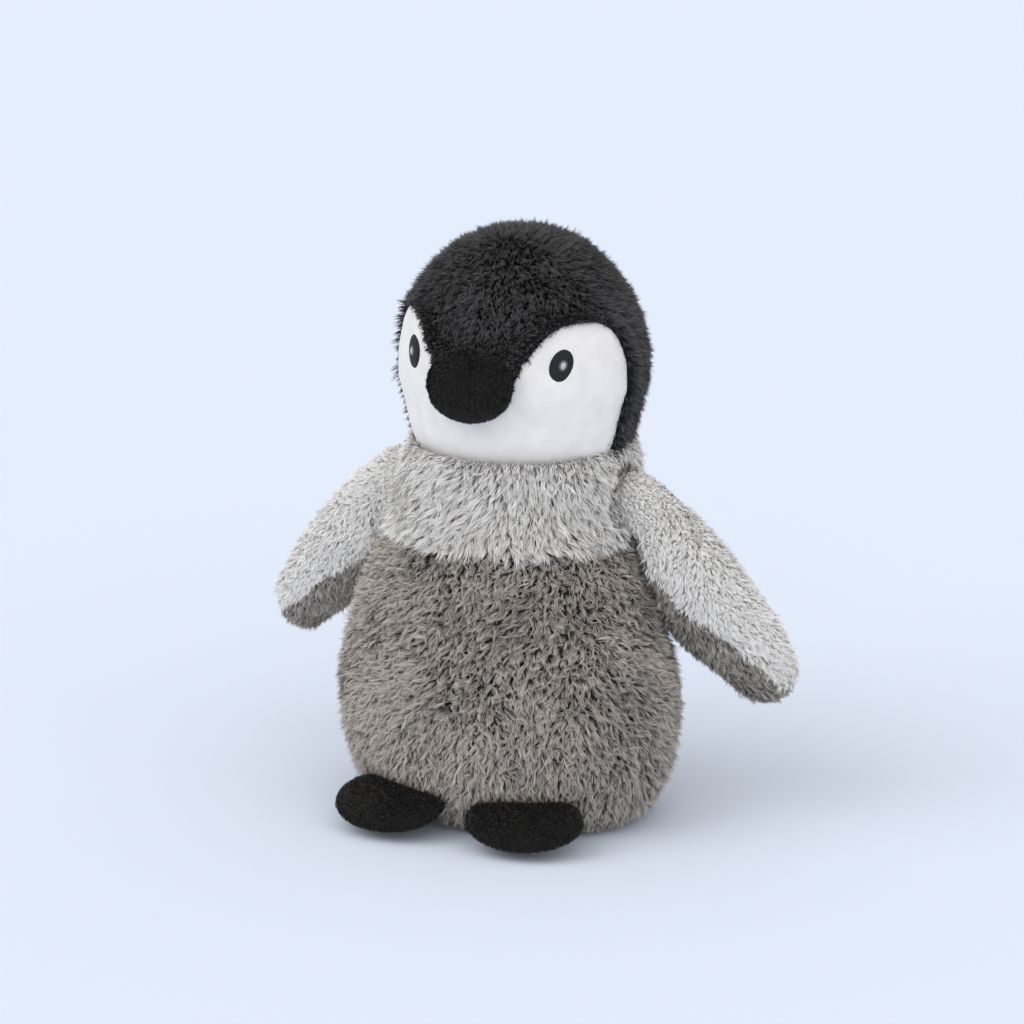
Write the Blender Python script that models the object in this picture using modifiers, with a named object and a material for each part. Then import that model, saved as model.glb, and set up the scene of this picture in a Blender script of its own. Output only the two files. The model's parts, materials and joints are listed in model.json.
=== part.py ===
"""Plush baby penguin with a grain bag inside, standing on its flat base.

Metres, +Z up. The penguin faces -Y, so its left side is at +X. The origin is on the floor, under
the middle of the body. Outer sizes are to the mean tips of the pile.
"""

import math

import bmesh
import bpy
from mathutils import Matrix, Vector

MM = 0.001

# Clearances between pieces.
SEAM = 0.4 * MM
FILLING_PLAY = 1.0 * MM
REST = 0.5 * MM
NECK_PLAY = 1.3 * MM
PLUG_PLAY = 1.5 * MM
ARMHOLE_PLAY = 1.0 * MM
ROOT_PLAY = 0.2 * MM
SHOULDER_PLAY = 1.0 * MM

# Overall sizes.
HEIGHT = 330 * MM
BODY_WIDTH = 199 * MM
BODY_DEPTH_SHARE = 0.72

# Body.
BASE_RADIUS = 70 * MM
WIDEST_AT = 66 * MM
COLLAR_RADIUS = 68 * MM
COLLAR_TOP = 211 * MM
COLLAR_SEAM = 157 * MM
COLLAR_ROLL = 3 * MM
SHOULDER_AT = 200 * MM
SIDE_SEAM_Y = 6 * MM
BODY_PILE = 6 * MM
BASE_THICK = 3 * MM

# Grain bag.
BAG_TOP = 116 * MM
BAG_MARGIN = 12 * MM
BAG_CLOTH = 1.2 * MM
BAG_FULLNESS = 0.8

# Head.
HEAD_BACK = 17 * MM
HEAD_WIDTH = 142 * MM
HEAD_DEPTH = 134 * MM
HEAD_CENTRE_Z = 251 * MM
NECK_PIVOT_Z = 232 * MM
NECK_RADIUS = 65 * MM
BALL_FROM = math.radians(-12)
BALL_TO = math.radians(14)
CAP_PILE = 6 * MM
FACE_STEP = 2 * MM
NECK_OPENING = math.radians(55)
PLUG_ANGLE = math.radians(41)
PLUG_DEPTH = 20 * MM
PLUG_STEPS = 5

# Outline of the white face seen from the side, from the middle of the head.
FACE_CENTRE_Y = -36 * MM
FACE_CENTRE_Z = -5 * MM
FACE_BACK = 26 * MM
FACE_FRONT = 26.5 * MM
FACE_TOP = 40 * MM
FACE_STEPS = 26

# Beak.
BEAK_WIDTH = 50 * MM
BEAK_HEIGHT = 41 * MM
BEAK_REACH = 25 * MM
BEAK_TAPER = 0.22
BEAK_CLOTH = 1.8 * MM
BEAK_UP = 3 * MM
MOUTH_DROP = 5 * MM

# Eyes.
EYE_WIDTH = 12.5 * MM
EYE_HEIGHT = 17 * MM
EYE_ROUND = math.radians(42.5)
EYE_UP = 14 * MM
EYE_THICK = 0.9 * MM
GLINT_SIZE = 3.2 * MM
GLINT_THICK = 0.5 * MM
GLINT_RISE = 3.4 * MM

# Flippers.
FLIPPER_ROOT = (71 * MM, 12 * MM, 180 * MM)
FLIPPER_DROOP = {1: math.radians(52), -1: math.radians(47)}
FLIPPER_SWEEP = math.radians(18.5)
FLIPPER_LENGTH = 117 * MM
FLIPPER_ROOT_RADIUS = 20 * MM
FLIPPER_MID_RADIUS = 28 * MM
FLIPPER_TIP_RADIUS = 20 * MM
FLIPPER_FLATNESS = 0.66
FLIPPER_BEND = 3 * MM
FLIPPER_SEAM_START = (-22 * MM, 15.5 * MM)
FLIPPER_SEAM_SLOPE = math.radians(11)
FLIPPER_PILE = 5 * MM
FLIPPER_STEPS = 4

# Feet.
FOOT_X = 40.7 * MM
FOOT_Y = -70 * MM
FOOT_WIDTH = 68 * MM
FOOT_LENGTH = 49 * MM
FOOT_THICK = 13 * MM
FOOT_FULLNESS = 0.55
FOOT_TOE_OUT = math.radians(8)
FOOT_SLOPE = math.radians(20)
FOOT_RAISE = 10 * MM
FOOT_CLOTH = 1.8 * MM
FOOT_HINGE = (0.0, -52 * MM, 16 * MM)
FOOT_LIFT = math.radians(10)
FOOT_TUCK = 4 * MM

# Fineness: outlines that show, outlines that don't, and small pieces.
SHOWN = (32, 16)
SOCKET = (38, 19)
ARMHOLE = (24, 14)
HIDDEN = (20, 11)
CUTTER = (26, 15)
SMALL = (18, 10)

BLACK_PLUSH = ("black_plush", (0.022, 0.022, 0.025, 1), 0.9)
WHITE_PLUSH = ("white_plush", (0.78, 0.77, 0.77, 1), 0.9)
LIGHT_PLUSH = ("light_grey_plush", (0.56, 0.54, 0.52, 1), 0.95)
DARK_PLUSH = ("dark_grey_plush", (0.16, 0.148, 0.138, 1), 0.95)
BLACK_VELOUR = ("black_velour", (0.012, 0.011, 0.012, 1), 0.8)
EYE_THREAD = ("eye_thread", (0.03, 0.03, 0.034, 1), 0.6)
PALE_THREAD = ("pale_thread", (0.62, 0.62, 0.64, 1), 0.5)
FILLING = ("polyester_filling", (0.85, 0.85, 0.83, 1), 1.0)
COTTON = ("cotton_lining", (0.72, 0.68, 0.6, 1), 0.95)
GRAIN = ("grain_filling", (0.55, 0.42, 0.22, 1), 0.9)


def fresh_collection(name):
    """An empty collection linked to the scene."""
    collection = bpy.data.collections.new(name)
    bpy.context.scene.collection.children.link(collection)
    return collection


def material(spec):
    """The Principled material of that name, made once."""
    name, colour, roughness = spec
    found = bpy.data.materials.get(name)
    if found:
        return found
    made = bpy.data.materials.new(name)
    made.use_nodes = True
    shader = made.node_tree.nodes["Principled BSDF"]
    shader.inputs["Base Color"].default_value = colour
    shader.inputs["Roughness"].default_value = roughness
    shader.inputs["Metallic"].default_value = 0.0
    return made


def smooth(value):
    """Ease from 0 to 1."""
    value = min(max(value, 0.0), 1.0)
    return value * value * (3 - 2 * value)


def outward(shape):
    """Turn every face of a closed bmesh outwards."""
    shape.normal_update()
    bmesh.ops.recalc_face_normals(shape, faces=shape.faces[:])
    if shape.calc_volume(signed=True) < 0:
        bmesh.ops.reverse_faces(shape, faces=shape.faces[:])


def half_circle(steps):
    """A unit half circle from the top pole to the bottom pole."""
    turns = [math.pi / 2 - math.pi * i / steps for i in range(1, steps)]
    return [(0.0, 1.0), *((math.cos(turn), math.sin(turn)) for turn in turns), (0.0, -1.0)]


def lathe(name, profile, steps, place):
    """Revolve (radius, height) pairs, given top to bottom, and put every point through place."""
    mesh = bpy.data.meshes.new(name)
    mesh.from_pydata(
        [(radius, 0, height) for radius, height in profile],
        [(i, i + 1) for i in range(len(profile) - 1)],
        [],
    )
    obj = bpy.data.objects.new(name, mesh)
    bpy.context.scene.collection.objects.link(obj)
    screw = obj.modifiers.new("Turn", "SCREW")
    screw.steps = screw.render_steps = steps
    screw.use_merge_vertices = True
    screw.merge_threshold = 0.00001
    graph = bpy.context.evaluated_depsgraph_get()
    turned = bpy.data.meshes.new_from_object(obj.evaluated_get(graph))
    obj.modifiers.clear()
    obj.data = turned
    bpy.data.meshes.remove(mesh)
    turned.name = name
    half_step = Matrix.Rotation(math.pi / steps, 3, "Z")
    for vertex in turned.vertices:
        vertex.co = place(half_step @ vertex.co)
    shape = bmesh.new()
    shape.from_mesh(turned)
    outward(shape)
    for face in shape.faces:
        face.smooth = True
    shape.to_mesh(turned)
    shape.free()
    bpy.context.scene.collection.objects.unlink(obj)
    return obj


def inset_profile(profile, distance):
    """Move a profile, pole to pole, inwards along its normals."""
    moved = []
    for i, (radius, height) in enumerate(profile):
        before = Vector(profile[max(i - 1, 0)])
        after = Vector(profile[min(i + 1, len(profile) - 1)])
        if i == 0:
            before = Vector((-after.x, after.y))
        if i == len(profile) - 1:
            after = Vector((-before.x, before.y))
        along = (after - before).normalized()
        point = Vector((radius, height)) + distance * Vector((along.y, -along.x))
        moved.append((max(point.x, 0.0) if radius > 0 else 0.0, point.y))
    return moved


def block(name, low, high, frame=None):
    """A box between two corners, in the given frame."""
    centre = [(a + b) / 2 for a, b in zip(low, high)]
    size = [b - a for a, b in zip(low, high)]
    mesh = bpy.data.meshes.new(name)
    shape = bmesh.new()
    bmesh.ops.create_cube(shape, size=1.0)
    for vertex in shape.verts:
        point = Vector([c + v * s for c, v, s in zip(centre, vertex.co, size)])
        vertex.co = frame @ point if frame else point
    outward(shape)
    shape.to_mesh(mesh)
    shape.free()
    return as_cutter(bpy.data.objects.new(name, mesh))


def as_cutter(obj):
    """File an object as a cutter."""
    obj.name = "cut_" + obj.name
    obj.hide_render = True
    obj.display_type = "WIRE"
    CUTTERS.objects.link(obj)
    return obj


def boolean(obj, operation, *cutters):
    """Add one exact Boolean for each cutter."""
    for cutter in cutters:
        step = obj.modifiers.new(operation.title() + " " + cutter.name, "BOOLEAN")
        step.solver = "EXACT"
        step.operation = operation
        step.object = cutter
    return obj


def piece(obj, name, spec, inside=(), outside=(), frame=None):
    """File an object as a piece of the toy, kept inside some cutters and outside others."""
    obj.name = name
    obj.data.name = name
    obj.data.materials.append(material(spec))
    PIECES.objects.link(obj)
    boolean(obj, "INTERSECT", *inside)
    boolean(obj, "DIFFERENCE", *outside)
    if frame:
        obj.parent = frame
        obj.matrix_parent_inverse = frame.matrix_world.inverted()
    return obj


def joint_frame(name, place):
    """An empty on a joint axis, the parent of the pieces that move with it."""
    empty = bpy.data.objects.new(name, None)
    empty.location = place
    empty.empty_display_size = 0.02
    FRAMES.objects.link(empty)
    bpy.context.view_layer.update()
    return empty


# Body of the penguin.


def body_radius(height):
    """Half width of the body at a height."""
    widest = BODY_WIDTH / 2
    if height < WIDEST_AT:
        rise = 1 - height / WIDEST_AT
        return BASE_RADIUS + (widest - BASE_RADIUS) * math.sqrt(max(1 - rise * rise, 0))
    slope = smooth((height - WIDEST_AT) / (SHOULDER_AT - WIDEST_AT))
    return widest + (COLLAR_RADIUS - widest) * slope


def body_profile(steps, inset, low):
    """Half section of the body, from the middle of the top to the middle of the bottom."""
    high = COLLAR_TOP - inset
    points = [(0.0, high), (COLLAR_RADIUS - COLLAR_ROLL - inset, high)]
    for i in range(steps + 1):
        height = low + (high - COLLAR_ROLL - low) * (1 - i / steps) ** 1.25
        points.append((body_radius(max(height, 0.0)) - inset, height))
    points.append((0.0, low))
    return points


def body_place(point):
    """Flatten the body front to back and lean its axis towards the neck."""
    up = smooth((point.z - 0.1) / (SHOULDER_AT - 0.1))
    share = BODY_DEPTH_SHARE + (1 - BODY_DEPTH_SHARE) * up
    return Vector((point.x, point.y * share + HEAD_BACK * up, point.z))


def body_solid(name, inset, low=0.0, fineness=SHOWN):
    """The body's outline, moved inwards by the inset, from a lowest height up."""
    turns, steps = fineness
    return lathe(name, body_profile(steps, inset, low), turns, body_place)


# Head.


def head_reach(direction):
    """Distance from the neck pivot to the head's surface in a direction."""
    lift = HEAD_CENTRE_Z - NECK_PIVOT_Z
    semi = Vector((HEAD_WIDTH / 2, HEAD_DEPTH / 2, HEIGHT - HEAD_CENTRE_Z))
    scaled = Vector([d / s for d, s in zip(direction, semi)])
    drop = Vector((0, 0, lift / semi.z))
    square, mixed = scaled.dot(scaled), scaled.dot(drop)
    reach = (mixed + math.sqrt(mixed * mixed - square * (drop.dot(drop) - 1))) / square
    ball = smooth((math.asin(direction.z) - BALL_FROM) / (BALL_TO - BALL_FROM))
    return NECK_RADIUS + (reach - NECK_RADIUS) * ball


def head_point(direction, inset):
    """The point of the head's surface in a direction from the neck pivot."""
    direction = direction.normalized()
    direction.z = min(max(direction.z, -1.0), 1.0)
    return NECK_PIVOT + direction * (head_reach(direction) - inset)


def head_solid(name, inset, fineness=SHOWN):
    """The head's outline, moved inwards by the inset."""
    turns, steps = fineness
    return lathe(name, half_circle(steps), turns, lambda point: head_point(point, inset))


def ball(name, radius, fineness):
    """A ball about the neck pivot."""
    turns, steps = fineness
    return lathe(name, half_circle(steps), turns, lambda point: NECK_PIVOT + radius * point)


def neck_cone(name, angle, fineness):
    """Everything that lies within an angle of straight down from the neck pivot."""
    reach = 2 * NECK_RADIUS
    profile = [(0.0, 0.0), (reach * math.tan(angle), -reach), (0.0, -reach)]
    return lathe(name, profile, fineness[0], lambda point: NECK_PIVOT + point)


def face_block(name, grow):
    """A bar across the head with the outline of the white face, seen from the side."""
    outline = []
    for i in range(FACE_STEPS + 1):
        turn = math.pi * i / FACE_STEPS
        across, up = math.cos(turn), math.sin(turn)
        reach, power = (FACE_BACK, 3.0) if across > 0 else (FACE_FRONT, 2.0)
        outline.append(
            (
                FACE_CENTRE_Y + math.copysign(abs(across) ** (2 / power), across) * (reach + grow),
                FACE_CENTRE_Z + max(up ** (2 / power) * (FACE_TOP + grow), grow),
            )
        )
    far, low = -HEAD_DEPTH, -HEAD_DEPTH
    outline += [(far, outline[-1][1]), (far, low), (outline[0][0], low)]
    mesh = bpy.data.meshes.new(name)
    shape = bmesh.new()
    half = HEAD_WIDTH
    ring = [shape.verts.new((-half, y + HEAD_BACK, z + HEAD_CENTRE_Z)) for y, z in outline]
    face = shape.faces.new(ring)
    moved = bmesh.ops.extrude_face_region(shape, geom=[face])["geom"]
    for vertex in [item for item in moved if isinstance(item, bmesh.types.BMVert)]:
        vertex.co.x += 2 * half
    outward(shape)
    shape.to_mesh(mesh)
    shape.free()
    return as_cutter(bpy.data.objects.new(name, mesh))


# Small pieces on the head.


def beak_solid(name, inset):
    """The beak's bulb, narrower towards its front."""
    semi = [BEAK_WIDTH / 2 - inset, BEAK_REACH - inset, BEAK_HEIGHT / 2 - inset]

    def place(point):
        narrow = 1 - BEAK_TAPER * max(-point.y, 0.0) ** 2
        return BEAK_CENTRE + Vector(
            (point.x * semi[0] * narrow, point.y * semi[1], point.z * semi[2] * narrow)
        )

    return lathe(name, half_circle(SMALL[1]), SMALL[0], place)


def patch(name, side, width, height, rise, low, high):
    """An oval patch lying on the face, between two heights over its surface."""
    profile = [(0.0, 1.0), (0.55, 1.0), (0.9, 0.8), (1.0, 0.3), (0.95, 0.0), (0.0, 0.0)]
    out = Vector((side * math.sin(EYE_ROUND), -math.cos(EYE_ROUND), 0))
    across = Vector((-out.y, out.x, 0))
    lift = HEAD_CENTRE_Z - NECK_PIVOT_Z + EYE_UP + rise
    start = out * HEAD_DEPTH / 2 + Vector((0, 0, lift))

    def place(point):
        offset = across * point.x * width / 2 + Vector((0, 0, point.y * height / 2))
        return head_point(start + offset, FACE_STEP - low - (high - low) * point.z)

    return lathe(name, profile, SMALL[0], place)


# Flippers.


def flipper_frame(side):
    """The flipper's own frame: X across its width, Y through it, Z from its root to its tip."""
    droop, sweep = FLIPPER_DROOP[side], FLIPPER_SWEEP
    along = Vector(
        (
            side * math.cos(droop) * math.cos(sweep),
            math.cos(droop) * math.sin(sweep),
            -math.sin(droop),
        )
    )
    wide = Vector(
        (
            side * math.sin(droop) * math.cos(sweep),
            math.sin(droop) * math.sin(sweep),
            math.cos(droop),
        )
    )
    through = along.cross(wide)
    frame = Matrix((wide, through, along)).transposed().to_4x4()
    root = Vector((side * FLIPPER_ROOT[0], FLIPPER_ROOT[1], FLIPPER_ROOT[2]))
    return Matrix.Translation(root) @ frame


def flipper_profile():
    """Half width along the flipper, from its tip to its root."""
    root, tip, steps = FLIPPER_ROOT_RADIUS, FLIPPER_TIP_RADIUS, FLIPPER_STEPS
    turns = [math.pi / 2 * i / steps for i in range(1, steps)]
    points = [(0.0, FLIPPER_LENGTH + tip)]
    points += [(tip * math.sin(t), FLIPPER_LENGTH + tip * math.cos(t)) for t in turns]
    swell = FLIPPER_MID_RADIUS - (root + tip) / 2
    for i in range(2 * steps + 1):
        share = 1 - i / (2 * steps)
        width = root + (tip - root) * share + swell * math.sin(math.pi * share)
        points.append((width, FLIPPER_LENGTH * share))
    points += [(root * math.cos(t), -root * math.sin(t)) for t in turns]
    return [*points, (0.0, -root)]


def flipper_solid(name, side, inset):
    """The flipper's outline, moved inwards by the inset."""
    frame = flipper_frame(side)
    thin = FLIPPER_FLATNESS

    def place(point):
        share = min(max(point.z / FLIPPER_LENGTH, 0.0), 1.0)
        sag = FLIPPER_BEND * math.sin(math.pi * share) ** 2
        return frame @ Vector((point.x - sag, point.y * thin, point.z))

    return lathe(name, inset_profile(flipper_profile(), inset), SMALL[0], place)


def armhole(name, side, play):
    """The hollow in the body that takes the round root of a flipper, with some play."""
    frame = flipper_frame(side)
    radius = FLIPPER_ROOT_RADIUS + play
    through = FLIPPER_ROOT_RADIUS * FLIPPER_FLATNESS + play

    def place(point):
        return frame @ Vector((point.x * radius, point.y * through, point.z * radius))

    return as_cutter(lathe(name, half_circle(ARMHOLE[1]), ARMHOLE[0], place))


# Feet.


def foot_solid(name, side, inset):
    """A flat oval pad."""
    semi = [FOOT_WIDTH / 2 - inset, FOOT_LENGTH / 2 - inset, FOOT_THICK / 2 - inset]
    profile = [(width**FOOT_FULLNESS, height) for width, height in half_circle(SMALL[1])]
    turn = Matrix.Rotation(side * FOOT_TOE_OUT, 4, "Z") @ Matrix.Rotation(FOOT_SLOPE, 4, "X")

    def place(point):
        local = turn @ Vector([p * s for p, s in zip(point, semi)])
        return Vector((side * FOOT_X, FOOT_Y, FOOT_THICK / 2 + FOOT_RAISE)) + local

    return lathe(name, profile, SMALL[0], place)


def tilted_copy(obj, name, angle):
    """A copy of a cutter turned about the seam line of the feet."""
    copy = bpy.data.objects.new(name, obj.data.copy())
    seam = Matrix.Translation(Vector(FOOT_HINGE))
    copy.data.transform(seam @ Matrix.Rotation(angle, 4, "X") @ seam.inverted())
    return as_cutter(copy)


# Clear the scene.
for old in list(bpy.data.objects):
    bpy.data.objects.remove(old, do_unlink=True)

PIECES = fresh_collection("plush_penguin")
CUTTERS = fresh_collection("cutters")
FRAMES = fresh_collection("joint_frames")

NECK_PIVOT = Vector((0, HEAD_BACK, NECK_PIVOT_Z))
BEAK_CENTRE = Vector((0, HEAD_BACK - HEAD_DEPTH / 2, HEAD_CENTRE_Z + BEAK_UP))

FAR = 2 * HEIGHT
SIDES = (("left", 1), ("right", -1))

# Torso: plush panels, base, filling and the grain bag.
neck_socket = as_cutter(ball("neck_socket", NECK_RADIUS + NECK_PLAY, SOCKET))
armholes = [armhole("armhole_" + word, side, ARMHOLE_PLAY) for word, side in SIDES]
body_inside = as_cutter(body_solid("body_inside", BODY_PILE, BASE_THICK, HIDDEN))
HALF_SEAM = SEAM / 2
over_seam = block("over_seam", (-FAR, -FAR, COLLAR_SEAM - HALF_SEAM), (FAR, FAR, FAR))
under_seam = block("under_seam", (-FAR, -FAR, -FAR), (FAR, FAR, COLLAR_SEAM + HALF_SEAM))
behind_seam = block("behind_seam", (-FAR, SIDE_SEAM_Y - HALF_SEAM, -FAR), (FAR, FAR, FAR))
before_seam = block("before_seam", (-FAR, -FAR, -FAR), (FAR, SIDE_SEAM_Y + HALF_SEAM, FAR))
over_base = block("over_base", (-FAR, -FAR, BASE_THICK), (FAR, FAR, FAR))
under_base = block("under_base", (-FAR, -FAR, -FAR), (FAR, FAR, BASE_THICK + SEAM))

for word, other_side in (("front", behind_seam), ("back", before_seam)):
    shell = body_solid("body", 0.0)
    outside = (body_inside, under_base, over_seam, other_side, *armholes)
    piece(shell, "body_" + word, DARK_PLUSH, outside=outside)
    shell = body_solid("collar", 0.0)
    outside = (body_inside, neck_socket, under_seam, other_side, *armholes)
    piece(shell, "collar_" + word, LIGHT_PLUSH, outside=outside)

piece(body_solid("base", 0.0), "base_panel", DARK_PLUSH, outside=(over_base,))


def bag_profile():
    """Half section of the grain bag, from its top to its flat bottom."""
    low = BASE_THICK + SEAM
    steps = HIDDEN[1]
    points = [(0.0, BAG_TOP)]
    for i in range(1, steps + 1):
        turn = math.pi / 2 * i / steps
        height = low + (BAG_TOP - low) * max(math.cos(turn), 0.0)
        limit = body_radius(height) - BODY_PILE - BAG_MARGIN
        points.append((limit * math.sin(turn) ** BAG_FULLNESS, height))
    return [*points, (0.0, low)]


def bag_solid(name, inset):
    """The grain bag's outline, moved inwards by the inset."""
    return lathe(name, inset_profile(bag_profile(), inset), HIDDEN[0], body_place)


bag_inside = as_cutter(bag_solid("bag_inside", BAG_CLOTH))
for word, other_side in (("front", behind_seam), ("back", before_seam)):
    cloth = bag_solid("bag", 0.0)
    piece(cloth, "grain_bag_" + word, COTTON, outside=(bag_inside, other_side))
piece(bag_solid("grain", BAG_CLOTH + SEAM), "grain_filling", GRAIN)

bag_space = as_cutter(bag_solid("bag_space", -SEAM))
profile = inset_profile(body_profile(HIDDEN[1], BODY_PILE, BASE_THICK), FILLING_PLAY)
filling = lathe("filling", profile, HIDDEN[0], body_place)
outside = (bag_space, neck_socket, *armholes)
piece(filling, "body_stuffing", FILLING, outside=outside)

# Head.
neck_frame = joint_frame("neck_joint", NECK_PIVOT)
head_inside = as_cutter(head_solid("head_inside", CAP_PILE, HIDDEN))
neck_opening = as_cutter(neck_cone("neck_opening", NECK_OPENING, CUTTER))
face_inner = face_block("face", 0.0)
face_outer = face_block("face_margin", SEAM)
right_half = block("right_half", (-FAR, -FAR, -FAR), (HALF_SEAM, FAR, FAR))
left_half = block("left_half", (-HALF_SEAM, -FAR, -FAR), (FAR, FAR, FAR))

for (word, side), other_side in zip(SIDES, (right_half, left_half)):
    outside = (head_inside, neck_opening, other_side)
    cap = head_solid("cap", 0.0)
    piece(cap, "head_cap_" + word, BLACK_PLUSH, outside=(*outside, face_outer), frame=neck_frame)
    cheek = head_solid("face", FACE_STEP)
    piece(cheek, "face_" + word, WHITE_PLUSH, (face_inner,), outside, neck_frame)

plug_space = as_cutter(neck_cone("plug_space", NECK_OPENING, CUTTER))
plug_core = as_cutter(ball("plug_core", NECK_RADIUS - PLUG_DEPTH - PLUG_PLAY, HIDDEN))
boolean(plug_space, "DIFFERENCE", plug_core)
head_filling = head_solid("head_filling", CAP_PILE + FILLING_PLAY, HIDDEN)
piece(head_filling, "head_stuffing", FILLING, outside=(plug_space,), frame=neck_frame)


def plug_profile():
    """Half section of the neck filling: a thick cap below the neck pivot."""
    inner, outer = NECK_RADIUS - PLUG_DEPTH, NECK_RADIUS
    turns = [PLUG_ANGLE * i / PLUG_STEPS for i in range(PLUG_STEPS + 1)]
    rim = [(inner * math.sin(turn), -inner * math.cos(turn)) for turn in turns]
    rim += [(outer * math.sin(turn), -outer * math.cos(turn)) for turn in reversed(turns)]
    return rim


plug = lathe("plug", plug_profile(), HIDDEN[0], lambda point: NECK_PIVOT + point)
piece(plug, "neck_stuffing", FILLING, frame=neck_frame)

head_space = as_cutter(head_solid("head_space", -SEAM))
beak_inside = as_cutter(beak_solid("beak_inside", BEAK_CLOTH))
mouth = BEAK_CENTRE.z - MOUTH_DROP
under_mouth = block("under_mouth", (-FAR, -FAR, -FAR), (FAR, FAR, mouth + HALF_SEAM))
over_mouth = block("over_mouth", (-FAR, -FAR, mouth - HALF_SEAM), (FAR, FAR, FAR))
for word, other_side in (("upper", under_mouth), ("lower", over_mouth)):
    bulb = beak_solid("beak", 0.0)
    outside = (beak_inside, head_space, other_side)
    piece(bulb, "beak_" + word, BLACK_VELOUR, outside=outside, frame=neck_frame)
bulb = beak_solid("beak_filling", BEAK_CLOTH + SEAM)
piece(bulb, "beak_stuffing", FILLING, outside=(head_space,), frame=neck_frame)

EYE_GAP = 0.1 * MM
for word, side in SIDES:
    low, high = EYE_GAP, EYE_GAP + EYE_THICK
    eye = patch("eye", side, EYE_WIDTH, EYE_HEIGHT, 0.0, low, high)
    piece(eye, "eye_" + word, EYE_THREAD, frame=neck_frame)
    low = high + EYE_GAP
    glint = patch("glint", side, GLINT_SIZE, GLINT_SIZE, GLINT_RISE, low, low + GLINT_THICK)
    piece(glint, "eye_glint_" + word, PALE_THREAD, frame=neck_frame)

# Flippers.
for word, side in SIDES:
    frame = flipper_frame(side)
    root = joint_frame("flipper_joint_" + word, frame.translation)
    body_space = as_cutter(body_solid("body_space_" + word, -SHOULDER_PLAY, -SHOULDER_PLAY))
    boolean(body_space, "DIFFERENCE", armhole("root_" + word, side, ROOT_PLAY))
    inside = as_cutter(flipper_solid("flipper_inside_" + word, side, FLIPPER_PILE))
    wide, along = FLIPPER_SEAM_START
    slope = Matrix.Rotation(FLIPPER_SEAM_SLOPE, 4, "Y")
    seam_frame = frame @ Matrix.Translation((wide, 0, along)) @ slope
    low = block("low_flipper_" + word, (-FAR, -FAR, -FAR), (HALF_SEAM, FAR, FAR), seam_frame)
    high = block("high_flipper_" + word, (-HALF_SEAM, -FAR, -FAR), (FAR, FAR, FAR), seam_frame)
    for part, spec, other_side in (("top", LIGHT_PLUSH, low), ("under", DARK_PLUSH, high)):
        shell = flipper_solid("flipper", side, 0.0)
        name = "flipper_" + part + "_" + word
        piece(shell, name, spec, outside=(inside, body_space, other_side), frame=root)
    pad = flipper_solid("flipper_filling", side, FLIPPER_PILE + SEAM)
    piece(pad, "flipper_stuffing_" + word, FILLING, outside=(body_space,), frame=root)

# Feet.
foot_space = as_cutter(body_solid("foot_space", -REST, -REST))
lifted_space = tilted_copy(foot_space, "lifted_space", FOOT_LIFT)
behind_foot = block("behind_foot", (-FAR, FOOT_HINGE[1] + FOOT_TUCK, -FAR), (FAR, FAR, FAR))
middle = Vector((0, FOOT_Y, FOOT_THICK / 2 + FOOT_RAISE))
pad_frame = Matrix.Translation(middle) @ Matrix.Rotation(FOOT_SLOPE, 4, "X")
under_foot = block("under_foot", (-FAR, -FAR, -FAR), (FAR, FAR, HALF_SEAM), pad_frame)
over_foot = block("over_foot", (-FAR, -FAR, -HALF_SEAM), (FAR, FAR, FAR), pad_frame)
for word, side in SIDES:
    seam = joint_frame("foot_joint_" + word, (side * FOOT_X, FOOT_HINGE[1], FOOT_HINGE[2]))
    inside = as_cutter(foot_solid("foot_inside_" + word, side, FOOT_CLOTH))
    body_side = (foot_space, lifted_space, behind_foot)
    for part, other_side in (("upper", under_foot), ("sole", over_foot)):
        shell = foot_solid("foot", side, 0.0)
        name = "foot_" + part + "_" + word
        outside = (inside, *body_side, other_side)
        piece(shell, name, BLACK_VELOUR, outside=outside, frame=seam)
    pad = foot_solid("foot_filling", side, FOOT_CLOTH + SEAM)
    piece(pad, "foot_stuffing_" + word, FILLING, outside=body_side, frame=seam)
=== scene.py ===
"""Looks of a plush baby penguin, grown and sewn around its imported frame.

Every plush panel is a stuffed form with its own pile of strands. The penguin faces -Y.
"""

import json
import math

import bmesh
import bpy
import numpy as np
from mathutils import Matrix, Vector
from mathutils.kdtree import KDTree


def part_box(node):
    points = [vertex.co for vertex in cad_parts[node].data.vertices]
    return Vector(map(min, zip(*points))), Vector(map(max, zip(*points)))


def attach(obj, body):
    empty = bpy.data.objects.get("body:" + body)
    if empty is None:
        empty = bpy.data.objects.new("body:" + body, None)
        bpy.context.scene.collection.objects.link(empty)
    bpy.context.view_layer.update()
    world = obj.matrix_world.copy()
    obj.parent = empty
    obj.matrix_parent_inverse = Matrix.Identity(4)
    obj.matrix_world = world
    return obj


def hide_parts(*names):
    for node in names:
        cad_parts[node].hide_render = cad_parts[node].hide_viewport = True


bl_info = {
    "name": "Plush Penguin",
    "version": (1, 0, 0),
    "blender": (4, 5, 0),
    "location": "View3D > Sidebar > Penguin",
    "description": "Makes the plush panels, pile, face, feet and studio of a plush penguin",
    "category": "Object",
}

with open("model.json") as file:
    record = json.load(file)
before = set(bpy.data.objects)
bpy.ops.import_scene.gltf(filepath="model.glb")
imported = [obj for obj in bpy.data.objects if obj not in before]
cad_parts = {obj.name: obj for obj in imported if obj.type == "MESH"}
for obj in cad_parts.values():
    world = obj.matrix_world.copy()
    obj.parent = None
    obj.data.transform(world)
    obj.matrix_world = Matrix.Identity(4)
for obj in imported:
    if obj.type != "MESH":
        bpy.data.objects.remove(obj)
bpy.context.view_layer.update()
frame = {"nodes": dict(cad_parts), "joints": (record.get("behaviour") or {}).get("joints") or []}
NODES = frame["nodes"]
JOINTS = {joint["name"]: joint for joint in frame["joints"]}
MM = 0.001
SIDES = (("left", 1), ("right", -1))

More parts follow.
